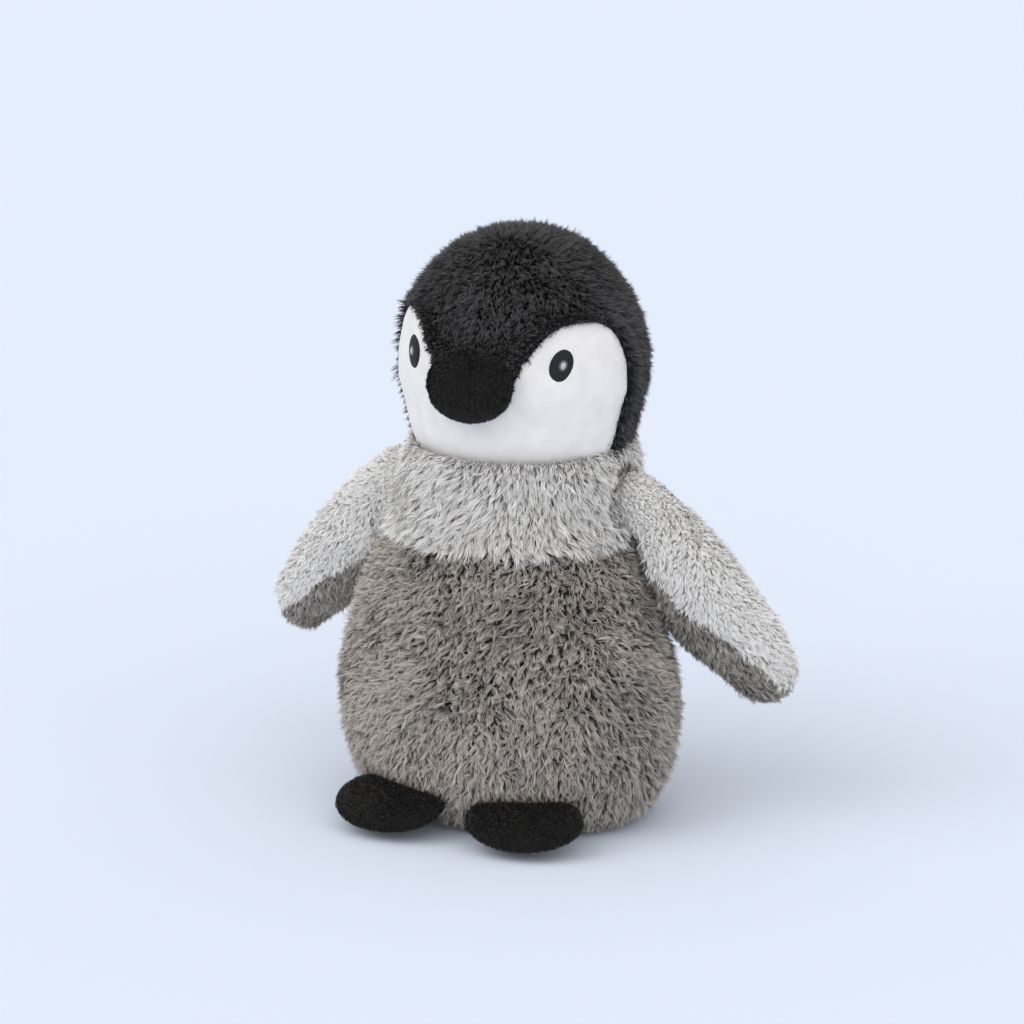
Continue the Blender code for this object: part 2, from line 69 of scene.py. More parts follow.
NECK_PIVOT = Vector(JOINTS["head_turn"]["pos_m"])
SIDE_SEAM_Y = (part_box("body_front")[1].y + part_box("body_back")[0].y) / 2
COLLAR_SEAM_Z = (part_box("body_front")[1].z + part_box("collar_front")[0].z) / 2
MOUTH_Z = (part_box("beak_upper")[0].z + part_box("beak_lower")[1].z) / 2

# The body stands upright to LEAN_FROM, and leans back to the neck over the next LEAN_RISE.
LEAN_FROM = 100 * MM
LEAN_RISE = 100 * MM

# How many strands grow on the torso, the hood, each flipper, each beak and each foot piece.
TORSO_STRANDS = 236000
HOOD_STRANDS = 124000
FLIPPER_STRANDS = 62000
BEAK_STRANDS = 12000
FOOT_STRANDS = 11000
VELOUR_NAP = 1.7 * MM
# No strand hangs lower than this over the table.
LOWEST_STRAND = 0.4 * MM

# How deep the backing cloth, and with it the roots of the pile, lies under the CAD surface.
TORSO_DEPTH = 5.2 * MM
HOOD_DEPTH = 4.2 * MM
HOOD_EDGE_DEPTH = 0.3 * MM
FLIPPER_DEPTH = 3.8 * MM

# Closer to the body's middle line than this, a flipper grows no pile.
SHOULDER_RADIUS = 56 * MM
# The dark pile of the left flipper wraps this far over its seam.
LEFT_WRAP = 3.5 * MM

# How far the tops of the eyes lean outwards, in radians.
EYE_LEAN = 0.42

WORLD_STRENGTH = 0.69
CAMERA_LENS = 164.53
CAMERA_TURN = 24.5
CAMERA_RISE = 15.5
CAMERA_FAR = 2.6
CAMERA_ASIDE = 0.0015
CAMERA_HEIGHT = 0.1701


def linear(red, green, blue):
    """A colour of 0 to 255 parts, as the shader takes it."""
    parts = [value / 255 for value in (red, green, blue)]
    return tuple(v / 12.92 if v <= 0.04045 else ((v + 0.055) / 1.055) ** 2.4 for v in parts)


def length_prop(label, text, size):
    """A length that a user may set."""
    return bpy.props.FloatProperty(
        name=label, description=text, default=size, min=0.0, unit="LENGTH", precision=4
    )


def colour_prop(label, text, parts):
    """A colour that a user may set."""
    return bpy.props.FloatVectorProperty(
        name=label, description=text, default=linear(*parts), min=0.0, max=1.0, subtype="COLOR"
    )


class PenguinSizes(bpy.types.PropertyGroup):
    """Sizes of the pile and the sewing."""

    body_pile: length_prop("Body pile", "Length of the body's strands", 8.6 * MM)
    collar_pile: length_prop("Collar pile", "Length of the collar's strands", 9.5 * MM)
    cap_pile: length_prop("Cap pile", "Length of the hood's strands", 7.2 * MM)
    flipper_pile: length_prop("Flipper pile", "Length of the flippers' strands", 6.4 * MM)
    nap: length_prop("Nap", "Length of the face's short nap", 0.8 * MM)
    strand: length_prop("Strand width", "Width of a strand at its root", 0.5 * MM)
    dimple: length_prop("Eye dimple", "How far the stitched eye pulls the face in", 1.6 * MM)


class PenguinColours(bpy.types.PropertyGroup):
    """Colours of the plush, velour and threads."""

    body_root: colour_prop("Body root", "Grey pile at its root", (38, 34, 32))
    body_tip: colour_prop("Body tip", "Grey pile at its tips", (206, 198, 190))
    light_root: colour_prop("Light root", "Light grey pile at its root", (142, 137, 133))
    light_tip: colour_prop("Light tip", "Light grey pile at its tips", (252, 250, 247))
    flipper_root: colour_prop("Flipper root", "Flipper pile at its root", (216, 212, 208))
    flipper_tip: colour_prop("Flipper tip", "Flipper pile at its tips", (253, 252, 250))
    black_root: colour_prop("Black root", "Black pile at its root", (12, 12, 13))
    black_tip: colour_prop("Black tip", "Black pile at its tips", (96, 95, 97))
    face: colour_prop("Face", "White short plush", (241, 238, 237))
    velour: colour_prop("Velour", "Beak and feet", (16, 15, 15))
    thread: colour_prop("Eye thread", "Dark stitches of the eyes", (30, 31, 32))
    rim_thread: colour_prop("Rim thread", "Grey stitches round the pale dot", (104, 106, 108))
    pale_thread: colour_prop("Pale thread", "Pale stitches of the eyes", (236, 238, 240))
    floor: colour_prop("Floor", "Floor of the studio", (229, 238, 253))


# Meshes.


def deselect():
    """Select nothing, with no active object."""
    for obj in bpy.context.selected_objects:
        obj.select_set(False)
    bpy.context.view_layer.objects.active = None


def choose(obj):
    """Make one object the only selected one."""
    deselect()
    obj.hide_viewport = False
    obj.select_set(True)
    bpy.context.view_layer.objects.active = obj
    return obj


def joined_copy(name, nodes):
    """One new object from copies of CAD nodes, with their loose triangles merged."""
    mesh = bpy.data.meshes.new(name)
    shape = bmesh.new()
    for node in nodes:
        shape.from_mesh(NODES[node].data)
    bmesh.ops.remove_doubles(shape, verts=shape.verts[:], dist=0.00002)
    shape.to_mesh(mesh)
    shape.free()
    obj = bpy.data.objects.new(name, mesh)
    bpy.context.scene.collection.objects.link(obj)
    return choose(obj)


def keep_outer_island(obj):
    """Remove the inner bubbles of a remeshed form."""
    shape = bmesh.new()
    shape.from_mesh(obj.data)
    left, islands = set(shape.verts), []
    while left:
        first = left.pop()
        island, edge = {first}, [first]
        while edge:
            vertex = edge.pop()
            for link in vertex.link_edges:
                other = link.other_vert(vertex)
                if other in left:
                    left.discard(other)
                    island.add(other)
                    edge.append(other)
        islands.append(island)
    islands.sort(key=len)
    spare = [vertex for island in islands[:-1] for vertex in island]
    bmesh.ops.delete(shape, geom=spare, context="VERTS")
    shape.to_mesh(obj.data)
    shape.free()


def remesh(obj, voxel):
    """Voxel remesh, keeping the outer skin."""
    choose(obj)
    obj.data.remesh_voxel_size = voxel
    bpy.ops.object.voxel_remesh()
    keep_outer_island(obj)


def relax(obj, rounds):
    """Smooth a form and apply it."""
    choose(obj)
    step = obj.modifiers.new("Relax", "SMOOTH")
    step.factor = 0.5
    step.iterations = rounds
    bpy.ops.object.modifier_apply(modifier=step.name)


def places(mesh):
    """The vertices of a mesh as an array."""
    flat = np.empty(len(mesh.vertices) * 3)
    mesh.vertices.foreach_get("co", flat)
    return flat.reshape(-1, 3)


def vertex_normals(mesh):
    """The vertex normals of a mesh as an array."""
    flat = np.empty(len(mesh.vertices) * 3)
    mesh.vertex_normals.foreach_get("vector", flat)
    return flat.reshape(-1, 3)


def put_places(mesh, points):
    """Write the vertices of a mesh."""
    mesh.vertices.foreach_set("co", np.ascontiguousarray(points).ravel())
    mesh.update()


def stuff(obj, pressure, cap, pinned=None, frames=20):
    """Puff a form up as stuffed cloth, and cap how far any point moves."""
    choose(obj)
    before = places(obj.data)
    step = obj.modifiers.new("Stuffing", "CLOTH")
    cloth = step.settings
    cloth.quality = 4
    cloth.mass = 0.3
    cloth.tension_stiffness = cloth.compression_stiffness = 12
    cloth.bending_stiffness = 0.6
    cloth.use_pressure = True
    cloth.uniform_pressure_force = pressure
    cloth.effector_weights.gravity = 0.0
    step.collision_settings.use_collision = False
    step.point_cache.frame_start, step.point_cache.frame_end = 1, frames
    if pinned is not None:
        group = obj.vertex_groups.new(name="pinned")
        group.add([int(i) for i in np.nonzero(pinned)[0]], 1.0, "REPLACE")
        cloth.vertex_group_mass = "pinned"
    scene = bpy.context.scene
    for number in range(1, frames + 1):
        scene.frame_set(number)
    bpy.ops.object.modifier_apply(modifier=step.name)
    scene.frame_set(1)
    obj.vertex_groups.clear()
    after = places(obj.data)
    move = after - before
    far = np.linalg.norm(move, axis=1, keepdims=True)
    put_places(obj.data, before + move * np.minimum(1, cap / np.maximum(far, 1e-9)))


def shrink(obj, distance):
    """Move a form inwards along its normals. The distance may differ from point to point."""
    points, normals = places(obj.data), vertex_normals(obj.data)
    put_places(obj.data, points - normals * np.asarray(distance).reshape(-1, 1))


def cut_off(obj, point, normal):
    """Cut away what lies on the normal's side of a plane, and close the cut."""
    choose(obj)
    bpy.ops.object.mode_set(mode="EDIT")
    bpy.ops.mesh.select_all(action="SELECT")
    bpy.ops.mesh.bisect(plane_co=point, plane_no=normal, use_fill=True, clear_outer=True)
    bpy.ops.object.mode_set(mode="OBJECT")
    shape = bmesh.new()
    shape.from_mesh(obj.data)
    bmesh.ops.triangulate(shape, faces=[f for f in shape.faces if len(f.verts) > 4])
    bmesh.ops.recalc_face_normals(shape, faces=shape.faces[:])
    for edge in shape.edges:
        edge.smooth = edge.calc_face_angle(0.0) < 1.0
    shape.to_mesh(obj.data)
    shape.free()


def duplicate(obj, name):
    """A copy with its own mesh."""
    copy = bpy.data.objects.new(name, obj.data.copy())
    copy.data.name = name
    bpy.context.scene.collection.objects.link(copy)
    return copy


def finish_piece(obj, material, body, nodes=()):
    """Give a piece its material and body, and hide the CAD nodes it stands for."""
    obj.data.materials.clear()
    obj.data.materials.append(material)
    for polygon in obj.data.polygons:
        polygon.use_smooth = True
    if body:
        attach(obj, body)
    if nodes:
        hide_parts(*nodes)
    return obj


# Pile.


def unit(vectors):
    """Vectors of length one."""
    return vectors / np.maximum(np.linalg.norm(vectors, axis=1, keepdims=True), 1e-12)


def ease(share):
    """A share from 0 to 1 with soft ends."""
    return share * share * (3 - 2 * share)


def wave(points, size, seed):
    """Smooth noise from -1 to 1, with features of a size."""
    rng = np.random.default_rng(seed)
    side = 24
    lattice = rng.uniform(-1, 1, (side, side, side))
    scaled = points / size + 500
    low = np.floor(scaled).astype(int)
    share = ease(scaled - low)
    total = np.zeros(len(points))
    for corner in range(8):
        step = np.array([corner & 1, corner >> 1 & 1, corner >> 2 & 1])
        weight = np.prod(np.where(step, share, 1 - share), axis=1)
        index = (low + step) % side
        total += weight * lattice[index[:, 0], index[:, 1], index[:, 2]]
    return total


def sow(mesh, count, seed, wanted=None):
    """Roots spread evenly over the wanted faces of a mesh, with their normals."""
    mesh.calc_loop_triangles()
    flat = np.empty(len(mesh.loop_triangles) * 3, dtype=np.int32)
    mesh.loop_triangles.foreach_get("vertices", flat)
    triangles = flat.reshape(-1, 3)
    points, normals = places(mesh), vertex_normals(mesh)
    corners = points[triangles]
    across = np.cross(corners[:, 1] - corners[:, 0], corners[:, 2] - corners[:, 0])
    area = np.linalg.norm(across, axis=1) / 2
    if wanted is not None:
        area = area * wanted(corners.mean(1), unit(across))
    rng = np.random.default_rng(seed)
    ends = np.cumsum(area)
    spots = (np.arange(count) + rng.random(count)) / count * ends[-1]
    chosen = np.minimum(np.searchsorted(ends, spots), len(ends) - 1)
    u, v = rng.random(count), rng.random(count)
    over = u + v > 1
    u[over], v[over] = 1 - u[over], 1 - v[over]
    shares = np.stack([1 - u - v, u, v], axis=1)[:, :, None]
    roots = (corners[chosen] * shares).sum(1)
    return roots, unit((normals[triangles[chosen]] * shares).sum(1))


def nearest(points, targets):
    """For each point, the index of the nearest target and its distance."""
    tree = KDTree(len(targets))
    for i, target in enumerate(targets):
        tree.insert(target, i)
    tree.balance()
    found = [tree.find(point)[1:] for point in points]
    return np.array([f[0] for f in found]), np.array([f[1] for f in found])


def turned(vectors, axes, angles):
    """Vectors at right angles to the axes, turned about them."""
    angles = angles[:, None]
    return vectors * np.cos(angles) + np.cross(axes, vectors) * np.sin(angles)


def grow_pile(name, roots, normals, groom, length, look, upright=0.0):
    """Strands of two faces each, gathered in tufts, that lean along the groom.

    The look holds seed, lean, swirl, curl, per_tuft, clump, spread and width, and may hold a
    tone. Upright is the share by which a strand stands straighter, 0 to 1.
    """
    rng = np.random.default_rng(look["seed"])
    count = len(roots)
    groom = unit(groom - normals * (groom * normals).sum(1, keepdims=True))
    swirl = look["swirl"] * wave(roots, 0.026, look["seed"] + 1)
    groom = turned(groom, normals, swirl + 0.2 * rng.standard_normal(count))
    tufts = max(int(count / look["per_tuft"]), 8)
    heads = rng.choice(count, tufts, replace=False)
    tuft, _ = nearest(roots, roots[heads])
    turn = look["curl"] * rng.standard_normal(tufts)
    groom = turned(groom, normals, turn[tuft])
    tuft_tone = rng.standard_normal(tufts)
    lean = look["lean"] + 0.18 * rng.standard_normal(count)
    lean = (lean + (0.2 * rng.standard_normal(tufts))[tuft]) * (1 - upright)
    length = length * (1 + 0.12 * rng.standard_normal(count)) * (1 + 0.1 * tuft_tone[tuft])
    low, high = (0.45 * lean)[:, None], (1.35 * lean)[:, None]
    half = (length / 2)[:, None]
    middle = roots + half * (np.cos(low) * normals + np.sin(low) * groom)
    tip = middle + half * (np.cos(high) * normals + np.sin(high) * groom)
    pull = look["clump"]
    head_tip, head_middle = tip[heads][tuft], middle[heads][tuft]
    spread = look["spread"] * rng.standard_normal((count, 3))
    tip = tip + pull * (head_tip + spread - tip)
    middle = middle + 0.4 * pull * (head_middle - middle)
    along = unit(tip - roots)
    side = unit(np.cross(along, normals) + 0.05 * rng.standard_normal((count, 3)))
    side = turned(side, along, 0.7 * rng.standard_normal(count))
    width = (look["width"] / 2 * (1 + 0.2 * rng.standard_normal(count)))[:, None]
    points = np.empty((count, 5, 3))
    points[:, 0], points[:, 1] = roots - side * width, roots + side * width
    points[:, 2], points[:, 3] = middle - side * width * 0.85, middle + side * width * 0.85
    points[:, 4] = tip
    points[:, :, 2] = np.maximum(points[:, :, 2], LOWEST_STRAND)
    start = np.arange(count)[:, None] * 5
    loops = (start + np.array([0, 1, 3, 2, 2, 3, 4])).ravel()
    sizes = np.tile([4, 3], count)
    starts = (np.arange(count)[:, None] * 7 + np.array([0, 4])).ravel()
    mesh = bpy.data.meshes.new(name)
    mesh.vertices.add(count * 5)
    mesh.vertices.foreach_set("co", points.ravel())
    mesh.loops.add(len(loops))
    mesh.loops.foreach_set("vertex_index", loops.astype(np.int32))
    mesh.polygons.add(count * 2)
    mesh.polygons.foreach_set("loop_start", starts.astype(np.int32))
    mesh.update(calc_edges=True)
    record = np.ones((count, 5, 4), np.float32)
    record[:, :, 0] = (0.0, 0.0, 0.5, 0.5, 1.0)
    tone = look.get("tone", 0.0) + 0.17 * rng.standard_normal(count)
    record[:, :, 1] = np.clip(0.5 + tone, 0, 1)[:, None]
    record[:, :, 2] = np.clip(0.5 + 0.17 * tuft_tone, 0, 1)[tuft][:, None]
    strands = mesh.color_attributes.new("strand", "FLOAT_COLOR", "POINT")
    strands.data.foreach_set("color", record.ravel())
    facing = np.repeat(normals, 5, axis=0)
    own = unit(np.cross(side, along))
    own = own * np.sign((own * normals).sum(1, keepdims=True) + 1e-6)
    facing = unit(0.55 * facing + 0.45 * np.repeat(own, 5, axis=0))
    mesh.polygons.foreach_set("use_smooth", np.ones(count * 2, bool))
    mesh.normals_split_custom_set_from_vertices(facing)
    obj = bpy.data.objects.new(name, mesh)
    bpy.context.scene.collection.objects.link(obj)
    return obj


# Materials.


def new_group(name, inputs, outputs):
    """An empty shader node group with named sockets."""
    group = bpy.data.node_groups.new(name, "ShaderNodeTree")
    for label, kind, value in inputs:
        socket = group.interface.new_socket(name=label, in_out="INPUT", socket_type=kind)
        if value is not None:
            socket.default_value = value
    for label, kind in outputs:
        group.interface.new_socket(name=label, in_out="OUTPUT", socket_type=kind)
    return group, group.nodes.new("NodeGroupInput"), group.nodes.new("NodeGroupOutput")


def node(tree, kind, links=(), **settings):
    """A node with settings, and inputs given as a value or as a socket to link."""
    made = tree.nodes.new(kind)
    for key, value in settings.items():
        setattr(made, key, value)
    for key, value in dict(links).items():
        if isinstance(value, bpy.types.NodeSocket):
            tree.links.new(value, made.inputs[key])
        else:
            made.inputs[key].default_value = value
    return made


def pile_group():
    """Colour along a strand: dark root, pale tip, tone by tuft, strand and place."""
    found = bpy.data.node_groups.get("Pile colour")
    if found:
        return found
    colour, value = "NodeSocketColor", "NodeSocketFloat"
    group, ins, outs = new_group(
        "Pile colour",
        [
            ("Strand", colour, None),
            ("Place", "NodeSocketVector", None),
            ("Root", colour, None),
            ("Tip", colour, None),
            ("Frost", value, 1.6),
            ("Mottle", value, 0.5),
            ("Patch size", value, 28.0),
        ],
        [("Colour", colour)],
    )
    parts = node(group, "ShaderNodeSeparateColor", {"Color": ins.outputs["Strand"]})
    rise = node(
        group,
        "ShaderNodeMath",
        {0: parts.outputs["Red"], 1: ins.outputs["Frost"]},
        operation="POWER",
    )
    patches = node(
        group,
        "ShaderNodeTexNoise",
        {"Vector": ins.outputs["Place"], "Scale": ins.outputs["Patch size"], "Detail": 3.0},
    )
    tones = node(
        group,
        "ShaderNodeMath",
        {0: parts.outputs["Green"], 1: parts.outputs["Blue"]},
        operation="ADD",
    )
    both = node(
        group, "ShaderNodeMath", {0: tones.outputs[0], 1: patches.outputs["Fac"]}, operation="ADD"
    )
    centred = node(group, "ShaderNodeMath", {0: both.outputs[0], 1: 1.5}, operation="SUBTRACT")
    swing = node(
        group,
        "ShaderNodeMath",
        {0: centred.outputs[0], 1: ins.outputs["Mottle"]},
        operation="MULTIPLY",
    )
    share = node(
        group,
        "ShaderNodeMath",
        {0: rise.outputs[0], 1: swing.outputs[0]},
        operation="ADD",
        use_clamp=True,
    )
    mixed = node(
        group,
        "ShaderNodeMix",
        {"Factor": share.outputs[0], 6: ins.outputs["Root"], 7: ins.outputs["Tip"]},
        data_type="RGBA",
    )
    group.links.new(mixed.outputs[2], outs.inputs["Colour"])
    return group


def base_material(name):
    """A material with its Principled shader, and the shader."""
    made = bpy.data.materials.new(name)
    made.use_nodes = True
    return made, made.node_tree, made.node_tree.nodes["Principled BSDF"]


def pile_material(name, root, tip, frost=1.6, mottle=0.5, patch=28.0, sheen=0.25):
    """Plush pile whose colour runs along each strand."""
    found = bpy.data.materials.get(name)
    if found:
        return found
    made, tree, shader = base_material(name)
    strand = node(tree, "ShaderNodeAttribute", attribute_name="strand")
    where = node(tree, "ShaderNodeTexCoord")
    group = node(tree, "ShaderNodeGroup", node_tree=pile_group())
    tree.links.new(strand.outputs["Color"], group.inputs["Strand"])
    tree.links.new(where.outputs["Object"], group.inputs["Place"])
    group.inputs["Root"].default_value = (*root, 1)
    group.inputs["Tip"].default_value = (*tip, 1)
    group.inputs["Frost"].default_value = frost
    group.inputs["Mottle"].default_value = mottle
    group.inputs["Patch size"].default_value = patch
    tree.links.new(group.outputs["Colour"], shader.inputs["Base Color"])
    shader.inputs["Roughness"].default_value = 0.85
    shader.inputs["Specular IOR Level"].default_value = 0.2
    shader.inputs["Sheen Weight"].default_value = sheen
    shader.inputs["Sheen Roughness"].default_value = 0.6
    return made


def bumped_material(name, group, dark, pale, bump, depth):
    """A material with colour and bump from a group, its shader, and the group's node."""
    made, tree, shader = base_material(name)
    where = node(tree, "ShaderNodeTexCoord")
    effect = node(tree, "ShaderNodeGroup", node_tree=group)
    tree.links.new(where.outputs["Object"], effect.inputs["Place"])
    effect.inputs["Dark"].default_value = (*dark, 1)
    effect.inputs["Pale"].default_value = (*pale, 1)
    tree.links.new(effect.outputs["Colour"], shader.inputs["Base Color"])
    height = effect.outputs["Height"]
    raised = node(tree, "ShaderNodeBump", {"Height": height, "Strength": bump, "Distance": depth})
    tree.links.new(raised.outputs["Normal"], shader.inputs["Normal"])
    return made, shader, effect


def nap_group():
    """Fine nap over soft patches: a colour, and a height for the bump."""
    found = bpy.data.node_groups.get("Cloth nap")
    if found:
        return found
    colour, value = "NodeSocketColor", "NodeSocketFloat"
    group, ins, outs = new_group(
        "Cloth nap",
        [
            ("Place", "NodeSocketVector", None),
            ("Dark", colour, None),
            ("Pale", colour, None),
            ("Grain", value, 1000.0),
        ],
        [("Colour", colour), ("Height", value)],
    )
    fine = node(
        group,
        "ShaderNodeTexNoise",
        {
            "Vector": ins.outputs["Place"],
            "Scale": ins.outputs["Grain"],
            "Detail": 4.0,
            "Roughness": 0.65,
        },
    )
    patches = node(group, "ShaderNodeMath", {0: ins.outputs["Grain"], 1: 14.0}, operation="DIVIDE")
    broad = node(
        group,
        "ShaderNodeTexNoise",
        {"Vector": ins.outputs["Place"], "Scale": patches.outputs[0], "Detail": 3.0},
    )
    added = node(
        group,
        "ShaderNodeMath",
        {0: fine.outputs["Fac"], 1: broad.outputs["Fac"]},
        operation="ADD",
    )
    share = node(
        group,
        "ShaderNodeMapRange",
        {"Value": added.outputs[0], "From Min": 0.75, "From Max": 1.2},
    )
    mixed_colour = node(
        group,
        "ShaderNodeMix",
        {"Factor": share.outputs[0], 6: ins.outputs["Dark"], 7: ins.outputs["Pale"]},
        data_type="RGBA",
    )
    group.links.new(mixed_colour.outputs[2], outs.inputs["Colour"])
    group.links.new(fine.outputs["Fac"], outs.inputs["Height"])
    return group


def cloth_material(name, colour, dark, grain, bump, sheen, roughness=0.9):
    """Short-napped cloth: fine nap in the bump, soft patches in the colour."""
    found = bpy.data.materials.get(name)
    if found:
        return found
    made, shader, cloth = bumped_material(name, nap_group(), dark, colour, bump, 0.0006)
    cloth.inputs["Grain"].default_value = grain
    shader.inputs["Roughness"].default_value = roughness
    shader.inputs["Specular IOR Level"].default_value = 0.15
    shader.inputs["Sheen Weight"].default_value = sheen
    shader.inputs["Sheen Roughness"].default_value = 0.5
    return made


def colours():
    """The colours in use."""
    return bpy.context.scene.penguin_colours


def sizes():
    """The sizes in use."""
    return bpy.context.scene.penguin_sizes


def mixed(a, b, share):
    """A colour part of the way from a to b."""
    return tuple(x + (y - x) * share for x, y in zip(a, b))


def dark_pile():
    """Grey pile with pale tips."""
    c = colours()
    return pile_material("grey_pile", c.body_root, c.body_tip, 1.15, 0.8, 30.0)


def light_pile():
    """Light grey pile."""
    c = colours()
    return pile_material("light_pile", c.light_root, c.light_tip, 0.7, 0.35, 26.0)


def flipper_pile():
    """Pale close-shorn pile of the flippers."""
    c = colours()
    return pile_material("flipper_pile", c.flipper_root, c.flipper_tip, 0.6, 0.25, 26.0)


def velour_nap():
    """Short black nap of the beak and feet."""
    root, tip = (0.002, 0.002, 0.002), (0.05, 0.046, 0.043)
    return pile_material("velour_nap", root, tip, 1.5, 0.55, 30.0, 0.03)


def black_pile():
    """Black pile with frosted tips."""
    c = colours()
    return pile_material("black_pile", c.black_root, c.black_tip, 1.8, 0.7, 30.0, 0.1)


def backing(name, root, tip, share):
    """The cloth that the pile stands on."""
    colour = mixed(root, tip, share)
    return cloth_material(name, colour, mixed(root, tip, share / 2), 900.0, 0.6, 0.1)


# Forms that hold the pile.


def body_axis(points):
    """The point of the body's middle line at each point's height."""
    lean = ease(np.clip((points[:, 2] - LEAN_FROM) / LEAN_RISE, 0, 1)) * NECK_PIVOT.y
    return np.stack([np.zeros(len(points)), lean, points[:, 2]], axis=1)


def down(points):
    """Straight down at every point."""
    return np.tile([0.0, 0.0, -1.0], (len(points), 1))


def flank_light_and_belly_paling(points):
    """How much paler the pile is: painted light on the right flank, and paler low on the belly."""
    flank = np.clip(-points[:, 0] / (80 * MM), 0, 1)
    up, aside = (points[:, 2] - 40 * MM) / (30 * MM), points[:, 0] / (40 * MM)
    return 0.24 * flank + 0.22 * np.exp(-(up**2) - aside**2)


class PENGUIN_OT_torso(bpy.types.Operator):
    """Sew the body and collar panels and grow their pile"""

    bl_idname = "penguin.torso"
    bl_label = "Body and collar"

    def execute(self, context):
        size, c = sizes(), colours()
        form = joined_copy(
            "torso_form",
            ["body_front", "body_back", "collar_front", "collar_back", "body_stuffing"]
            + ["grain_bag_front", "grain_bag_back", "grain_filling", "base_panel"],
        )
        remesh(form, 4 * MM)
        relax(form, 4)
        points = places(form.data)
        stuff(form, 3.0, 4 * MM, pinned=points[:, 2] < 4 * MM)
        points, normals = places(form.data), vertex_normals(form.data)
        outward = unit(points - body_axis(points))
        faces_out = np.clip((normals * outward).sum(1) * 2, 0, 1)
        seam = np.exp(-(((points[:, 1] - SIDE_SEAM_Y) / 0.006) ** 2))
        lumps = 1.6 * MM * wave(points, 0.034, 5) * np.clip(points[:, 2] / 0.03, 0, 1)
        shrink(form, (TORSO_DEPTH + 1.5 * MM * seam + lumps) * faces_out)
        relax(form, 3)

        def on_side(centres, facing):
            turned_out = (facing * unit(centres - body_axis(centres))).sum(1) > 0.25
            return turned_out & (centres[:, 2] > 1.5 * MM)

        roots, normals = sow(form.data, TORSO_STRANDS, 11, on_side)
        feet = np.vstack([places(NODES["foot_upper_" + word].data) for word, _ in SIDES])
        _, gap = nearest(roots, feet)
        edge = COLLAR_SEAM_Z + 3 * MM + 2.5 * MM * wave(roots, 0.012, 8)
        ahead = roots[:, 1] < SIDE_SEAM_Y
        regions = (
            ("body_front", (roots[:, 2] < edge) & ahead),
            ("body_back", (roots[:, 2] < edge) & ~ahead),
            ("collar_front", (roots[:, 2] >= edge) & ahead),
            ("collar_back", (roots[:, 2] >= edge) & ~ahead),
        )
        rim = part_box("collar_front")[1].z
        for number, (name, inside) in enumerate(regions):
            light = name.startswith("collar")
            spots, facing, room = roots[inside], normals[inside], gap[inside]
            full = size.collar_pile if light else size.body_pile
            long = full * (1 + 0.1 * wave(spots, 0.02, 31 + number))
            long = long * np.clip(0.3 + room / 0.016, 0.3, 1)
            long = long * np.clip(0.45 + (rim - spots[:, 2]) / 0.02, 0.45, 1)
            long = long * np.clip(0.45 + spots[:, 2] / 0.014, 0.45, 1)
            look = {
                "seed": 100 + number,
                "lean": 0.85 if light else 0.7,
                "swirl": 0.9 if light else 1.1,
                "curl": 0.4 if light else 0.7,
                "per_tuft": 9 if light else 7,
                "clump": 0.45 if light else 0.6,
                "spread": 0.0006,
                "width": size.strand,
            }
            # Painted light: the pile is toned paler on the right flank, and low on the belly.
            painted_paling = flank_light_and_belly_paling(spots)
            material = light_pile() if light else dark_pile()
            slot = "light_grey_plush" if light else "dark_grey_plush"
            for word, side in SIDES:
                half = spots[:, 0] * side > 0
                look["tone"] = painted_paling[half]
                groom, part = down(spots[half]), f"{name}_pile_{word}"
                pile = grow_pile(part, spots[half], facing[half], groom, long[half], look)
                finish_piece(pile, material, "torso")
            skin = duplicate(form, name + "_plush")
            way = -1 if "back" in name else 1
            cut_off(skin, (0, SIDE_SEAM_Y, 0), (0, way, 0))
            cut_off(skin, (0, 0, COLLAR_SEAM_Z), (0, 0, -1 if light else 1))
            root, tip = (c.light_root, c.light_tip) if light else (c.body_root, c.body_tip)
            cloth = backing(slot + "_backing", root, tip, 0.25 if light else 0.1)
            hidden = [name, "body_stuffing"] if name == "body_front" else [name]
            finish_piece(skin, cloth, "torso", hidden)
        bpy.data.objects.remove(form)
        return {"FINISHED"}


